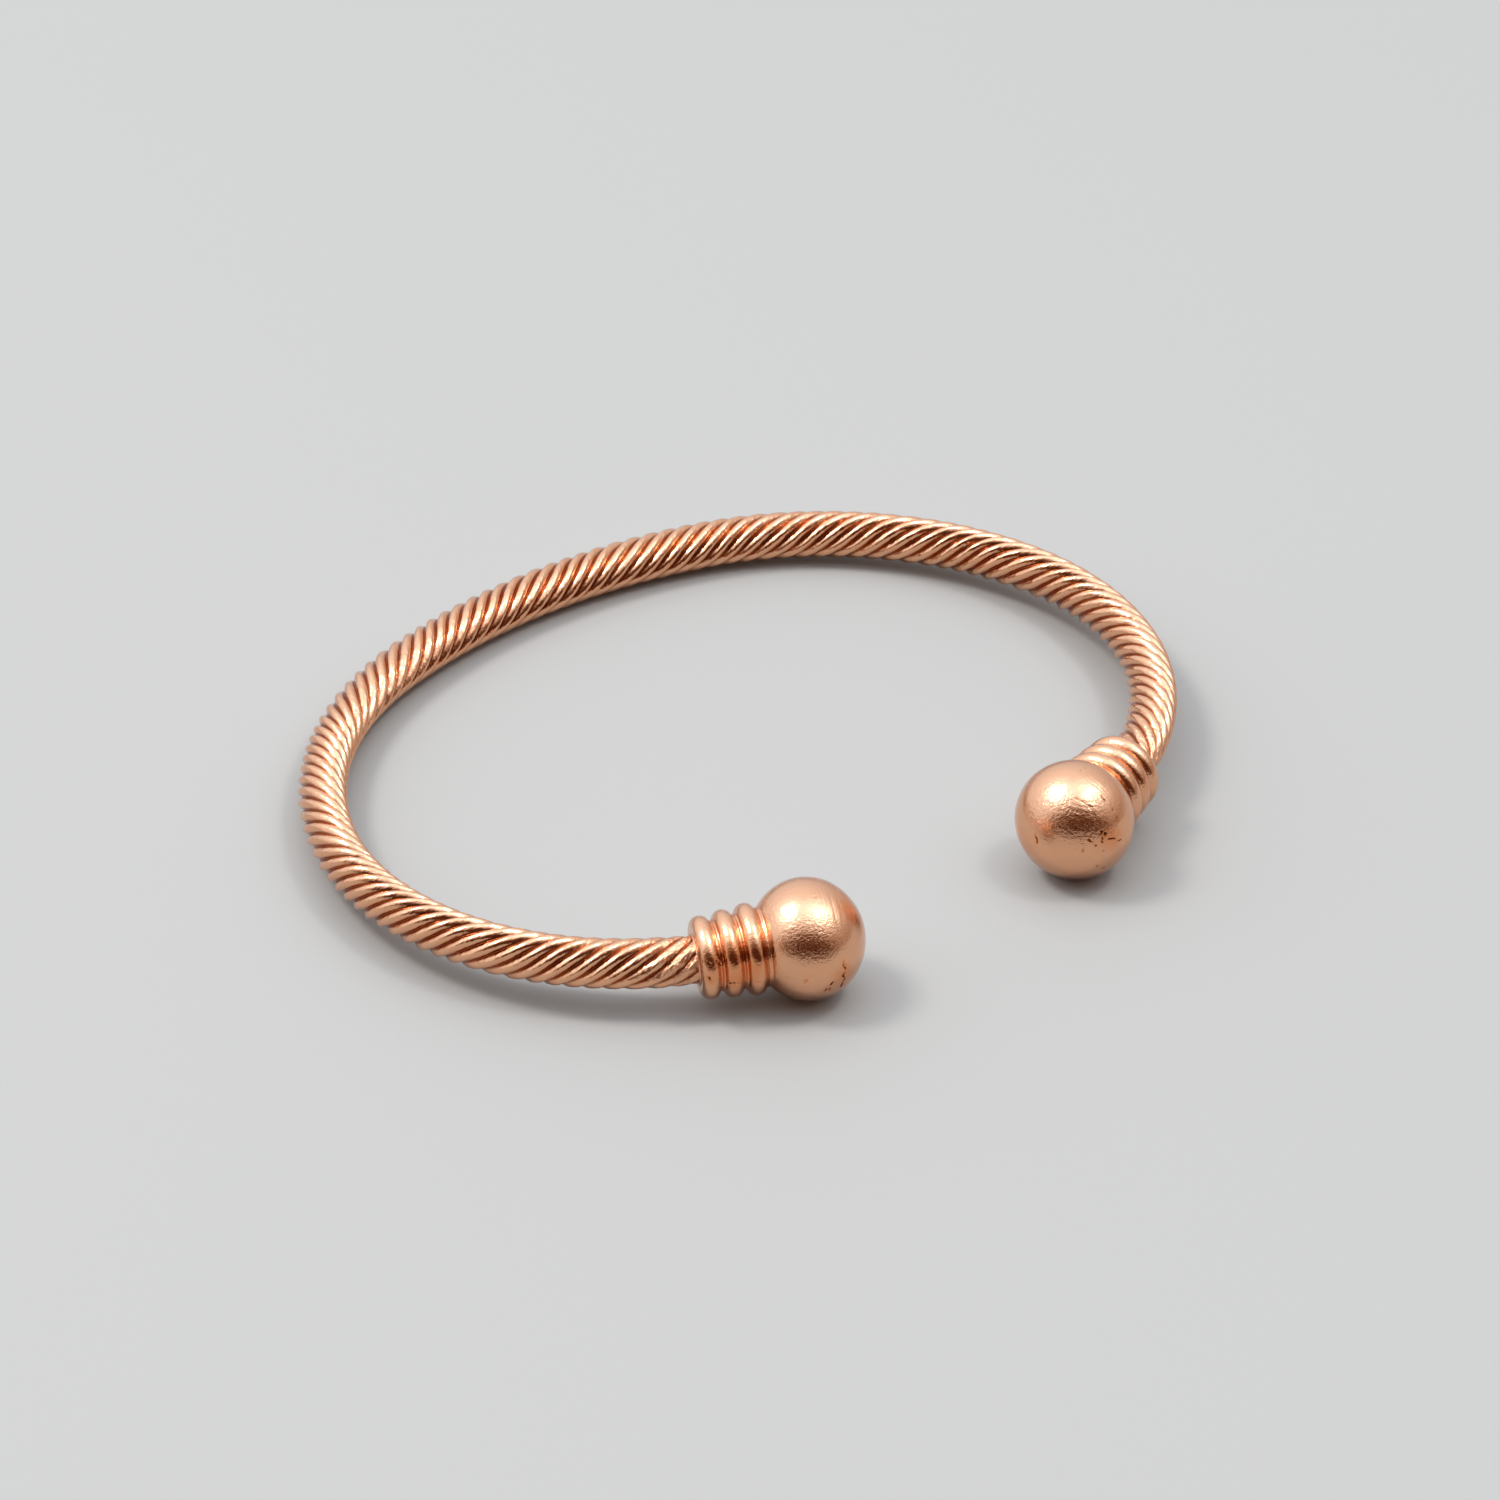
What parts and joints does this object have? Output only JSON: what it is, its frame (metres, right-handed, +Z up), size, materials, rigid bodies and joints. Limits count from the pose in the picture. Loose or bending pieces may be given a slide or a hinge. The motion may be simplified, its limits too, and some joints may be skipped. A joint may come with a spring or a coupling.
{
  "type": "open twisted copper cuff bracelet",
  "caption": "Open torc cuff bracelet: a twisted copper bar bent to an oval, with a ringed ball cap on each end, lying on its side.",
  "frame": {"origin": "below the middle of the cuff's box, on the surface that the cuff lies on", "axes": "+X across the wrist opening towards the right cap, +Y from the gap between the balls towards the back, +Z up, along the wrist"},
  "size_m": [0.0728, 0.0604, 0.0094],
  "materials": {
    "bar_copper": "tumble-polished bare copper, bright on the crests and darker in the valleys",
    "cap_copper": "satin turned bare copper"
  },
  "bodies": {
    "root": {"twisted_bar": "bar_copper", "left_end_cap": "cap_copper", "right_end_cap": "cap_copper"}
  },
  "joints": []
}
